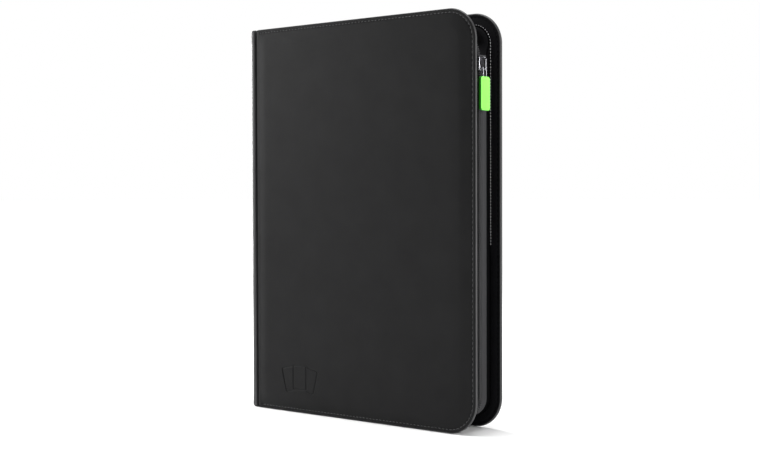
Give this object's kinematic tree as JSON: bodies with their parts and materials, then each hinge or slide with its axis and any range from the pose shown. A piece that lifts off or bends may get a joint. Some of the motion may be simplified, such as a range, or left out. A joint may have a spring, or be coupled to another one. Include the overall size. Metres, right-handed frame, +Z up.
{
  "type": "trading card binder",
  "caption": "Zip-around album for trading cards: padded black covers, side-loading pocket leaves, dark zip slider with a green pull.",
  "frame": {"origin": "on the surface the binder stands on, under the middle of its width and thickness", "axes": "+X from the spine to the fore edge, +Y from the front cover to the back cover, +Z up along the height"},
  "size_m": [0.248, 0.0426, 0.35],
  "materials": {
    "leather": "matt imitation leather with a fine woven emboss",
    "foam": "foam padding",
    "board": "grey binder's board",
    "lining": "smooth black lining",
    "page": "black sheet with clear pocket films",
    "zip_tape": "woven tape",
    "zip_coil": "nylon coil",
    "nickel": "dark nickel plating",
    "pull_rubber": "satin bright green"
  },
  "bodies": {
    "spine": {"spine_skin": "leather", "spine_padding": "foam", "spine_board": "board", "spine_lining": "lining", "page_binding_strip": "lining", "page_bound_margins": "page", "page_spacer_strips": "board", "front_hinge_fold": "leather", "back_hinge_fold": "leather"},
    "front_cover": {"front_cover_skin": "leather", "front_cover_padding": "foam", "front_cover_board": "board", "front_cover_lining": "lining", "front_zip_tape": "zip_tape", "front_zip_coil": "zip_coil", "front_zip_stops": "nickel"},
    "back_cover": {"back_cover_skin": "leather", "back_cover_padding": "foam", "back_cover_board": "board", "back_cover_lining": "lining", "back_zip_tape": "zip_tape", "back_zip_coil": "zip_coil", "back_zip_stops": "nickel"},
    "leaf_01": {"page_01": "page"},
    "leaf_02": {"page_02": "page"},
    "leaf_03": {"page_03": "page"},
    "leaf_04": {"page_04": "page"},
    "leaf_05": {"page_05": "page"},
    "leaf_06": {"page_06": "page"},
    "leaf_07": {"page_07": "page"},
    "leaf_08": {"page_08": "page"},
    "leaf_09": {"page_09": "page"},
    "leaf_10": {"page_10": "page"},
    "leaf_11": {"page_11": "page"},
    "leaf_12": {"page_12": "page"},
    "leaf_13": {"page_13": "page"},
    "leaf_14": {"page_14": "page"},
    "leaf_15": {"page_15": "page"},
    "leaf_16": {"page_16": "page"},
    "leaf_17": {"page_17": "page"},
    "leaf_18": {"page_18": "page"},
    "leaf_19": {"page_19": "page"},
    "leaf_20": {"page_20": "page"},
    "zip_slider": {"zip_slider_body": "nickel", "zip_slider_bridge": "nickel"},
    "zip_pull": {"zip_pull_link": "nickel", "zip_pull_tab": "pull_rubber"}
  },
  "joints": [
    {"name": "front_hinge", "type": "hinge", "parent": "spine", "child": "front_cover", "pos_m": [-0.1177, -0.02155, 0.175], "axis": [0, 0, -1], "range_deg": [0, 95]},
    {"name": "back_hinge", "type": "hinge", "parent": "spine", "child": "back_cover", "pos_m": [-0.1177, 0.02155, 0.175], "axis": [0, 0, 1], "range_deg": [0, 95]},
    {"name": "leaf_01_turn", "type": "hinge", "parent": "spine", "child": "leaf_01", "pos_m": [-0.112, -0.01378, 0.175], "axis": [0, 0, -1], "range_deg": [0, 88.4]},
    {"name": "leaf_02_turn", "type": "hinge", "parent": "spine", "child": "leaf_02", "pos_m": [-0.11125, -0.01232, 0.175], "axis": [0, 0, -1], "range_deg": [0, 79.2]},
    {"name": "leaf_03_turn", "type": "hinge", "parent": "spine", "child": "leaf_03", "pos_m": [-0.1105, -0.01087, 0.175], "axis": [0, 0, -1], "range_deg": [0, 70.1]},
    {"name": "leaf_04_turn", "type": "hinge", "parent": "spine", "child": "leaf_04", "pos_m": [-0.10975, -0.00942, 0.175], "axis": [0, 0, -1], "range_deg": [0, 60.9]},
    {"name": "leaf_05_turn", "type": "hinge", "parent": "spine", "child": "leaf_05", "pos_m": [-0.109, -0.00797, 0.175], "axis": [0, 0, -1], "range_deg": [0, 51.6]},
    {"name": "leaf_06_turn", "type": "hinge", "parent": "spine", "child": "leaf_06", "pos_m": [-0.10825, -0.00653, 0.175], "axis": [0, 0, -1], "range_deg": [0, 42.5]},
    {"name": "leaf_07_turn", "type": "hinge", "parent": "spine", "child": "leaf_07", "pos_m": [-0.1075, -0.00507, 0.175], "axis": [0, 0, -1], "range_deg": [0, 33.3]},
    {"name": "leaf_08_turn", "type": "hinge", "parent": "spine", "child": "leaf_08", "pos_m": [-0.10675, -0.00363, 0.175], "axis": [0, 0, -1], "range_deg": [0, 24.1]},
    {"name": "leaf_09_turn", "type": "hinge", "parent": "spine", "child": "leaf_09", "pos_m": [-0.106, -0.00217, 0.175], "axis": [0, 0, -1], "range_deg": [0, 15]},
    {"name": "leaf_10_turn", "type": "hinge", "parent": "spine", "child": "leaf_10", "pos_m": [-0.10525, -0.00072, 0.175], "axis": [0, 0, -1], "range_deg": [0, 5.8]},
    {"name": "leaf_11_turn", "type": "hinge", "parent": "spine", "child": "leaf_11", "pos_m": [-0.10525, 0.00072, 0.175], "axis": [0, 0, 1], "range_deg": [0, 5.8]},
    {"name": "leaf_12_turn", "type": "hinge", "parent": "spine", "child": "leaf_12", "pos_m": [-0.106, 0.00217, 0.175], "axis": [0, 0, 1], "range_deg": [0, 15]},
    {"name": "leaf_13_turn", "type": "hinge", "parent": "spine", "child": "leaf_13", "pos_m": [-0.10675, 0.00363, 0.175], "axis": [0, 0, 1], "range_deg": [0, 24.1]},
    {"name": "leaf_14_turn", "type": "hinge", "parent": "spine", "child": "leaf_14", "pos_m": [-0.1075, 0.00507, 0.175], "axis": [0, 0, 1], "range_deg": [0, 33.3]},
    {"name": "leaf_15_turn", "type": "hinge", "parent": "spine", "child": "leaf_15", "pos_m": [-0.10825, 0.00653, 0.175], "axis": [0, 0, 1], "range_deg": [0, 42.5]},
    {"name": "leaf_16_turn", "type": "hinge", "parent": "spine", "child": "leaf_16", "pos_m": [-0.109, 0.00797, 0.175], "axis": [0, 0, 1], "range_deg": [0, 51.6]},
    {"name": "leaf_17_turn", "type": "hinge", "parent": "spine", "child": "leaf_17", "pos_m": [-0.10975, 0.00942, 0.175], "axis": [0, 0, 1], "range_deg": [0, 60.9]},
    {"name": "leaf_18_turn", "type": "hinge", "parent": "spine", "child": "leaf_18", "pos_m": [-0.1105, 0.01087, 0.175], "axis": [0, 0, 1], "range_deg": [0, 70.1]},
    {"name": "leaf_19_turn", "type": "hinge", "parent": "spine", "child": "leaf_19", "pos_m": [-0.11125, 0.01232, 0.175], "axis": [0, 0, 1], "range_deg": [0, 79.2]},
    {"name": "leaf_20_turn", "type": "hinge", "parent": "spine", "child": "leaf_20", "pos_m": [-0.112, 0.01378, 0.175], "axis": [0, 0, 1], "range_deg": [0, 88.4]},
    {"name": "zip_slide", "type": "slide", "parent": "back_cover", "child": "zip_slider", "axis": [0, 0, 1], "range_m": [-0.255, 0]},
    {"name": "pull_swing", "type": "hinge", "parent": "zip_slider", "child": "zip_pull", "pos_m": [0.119, 0, 0.3017], "axis": [0, -1, 0], "range_deg": [0, 135]}
  ],
  "couplings": [
    {"joint": "leaf_01_turn", "follows": "front_hinge", "ratio": 0.93},
    {"joint": "leaf_02_turn", "follows": "front_hinge", "ratio": 0.833},
    {"joint": "leaf_03_turn", "follows": "front_hinge", "ratio": 0.737},
    {"joint": "leaf_04_turn", "follows": "front_hinge", "ratio": 0.64},
    {"joint": "leaf_05_turn", "follows": "front_hinge", "ratio": 0.543},
    {"joint": "leaf_06_turn", "follows": "front_hinge", "ratio": 0.447},
    {"joint": "leaf_07_turn", "follows": "front_hinge", "ratio": 0.35},
    {"joint": "leaf_08_turn", "follows": "front_hinge", "ratio": 0.253},
    {"joint": "leaf_09_turn", "follows": "front_hinge", "ratio": 0.157},
    {"joint": "leaf_10_turn", "follows": "front_hinge", "ratio": 0.06},
    {"joint": "leaf_11_turn", "follows": "back_hinge", "ratio": 0.06},
    {"joint": "leaf_12_turn", "follows": "back_hinge", "ratio": 0.157},
    {"joint": "leaf_13_turn", "follows": "back_hinge", "ratio": 0.253},
    {"joint": "leaf_14_turn", "follows": "back_hinge", "ratio": 0.35},
    {"joint": "leaf_15_turn", "follows": "back_hinge", "ratio": 0.447},
    {"joint": "leaf_16_turn", "follows": "back_hinge", "ratio": 0.543},
    {"joint": "leaf_17_turn", "follows": "back_hinge", "ratio": 0.64},
    {"joint": "leaf_18_turn", "follows": "back_hinge", "ratio": 0.737},
    {"joint": "leaf_19_turn", "follows": "back_hinge", "ratio": 0.833},
    {"joint": "leaf_20_turn", "follows": "back_hinge", "ratio": 0.93}
  ]
}
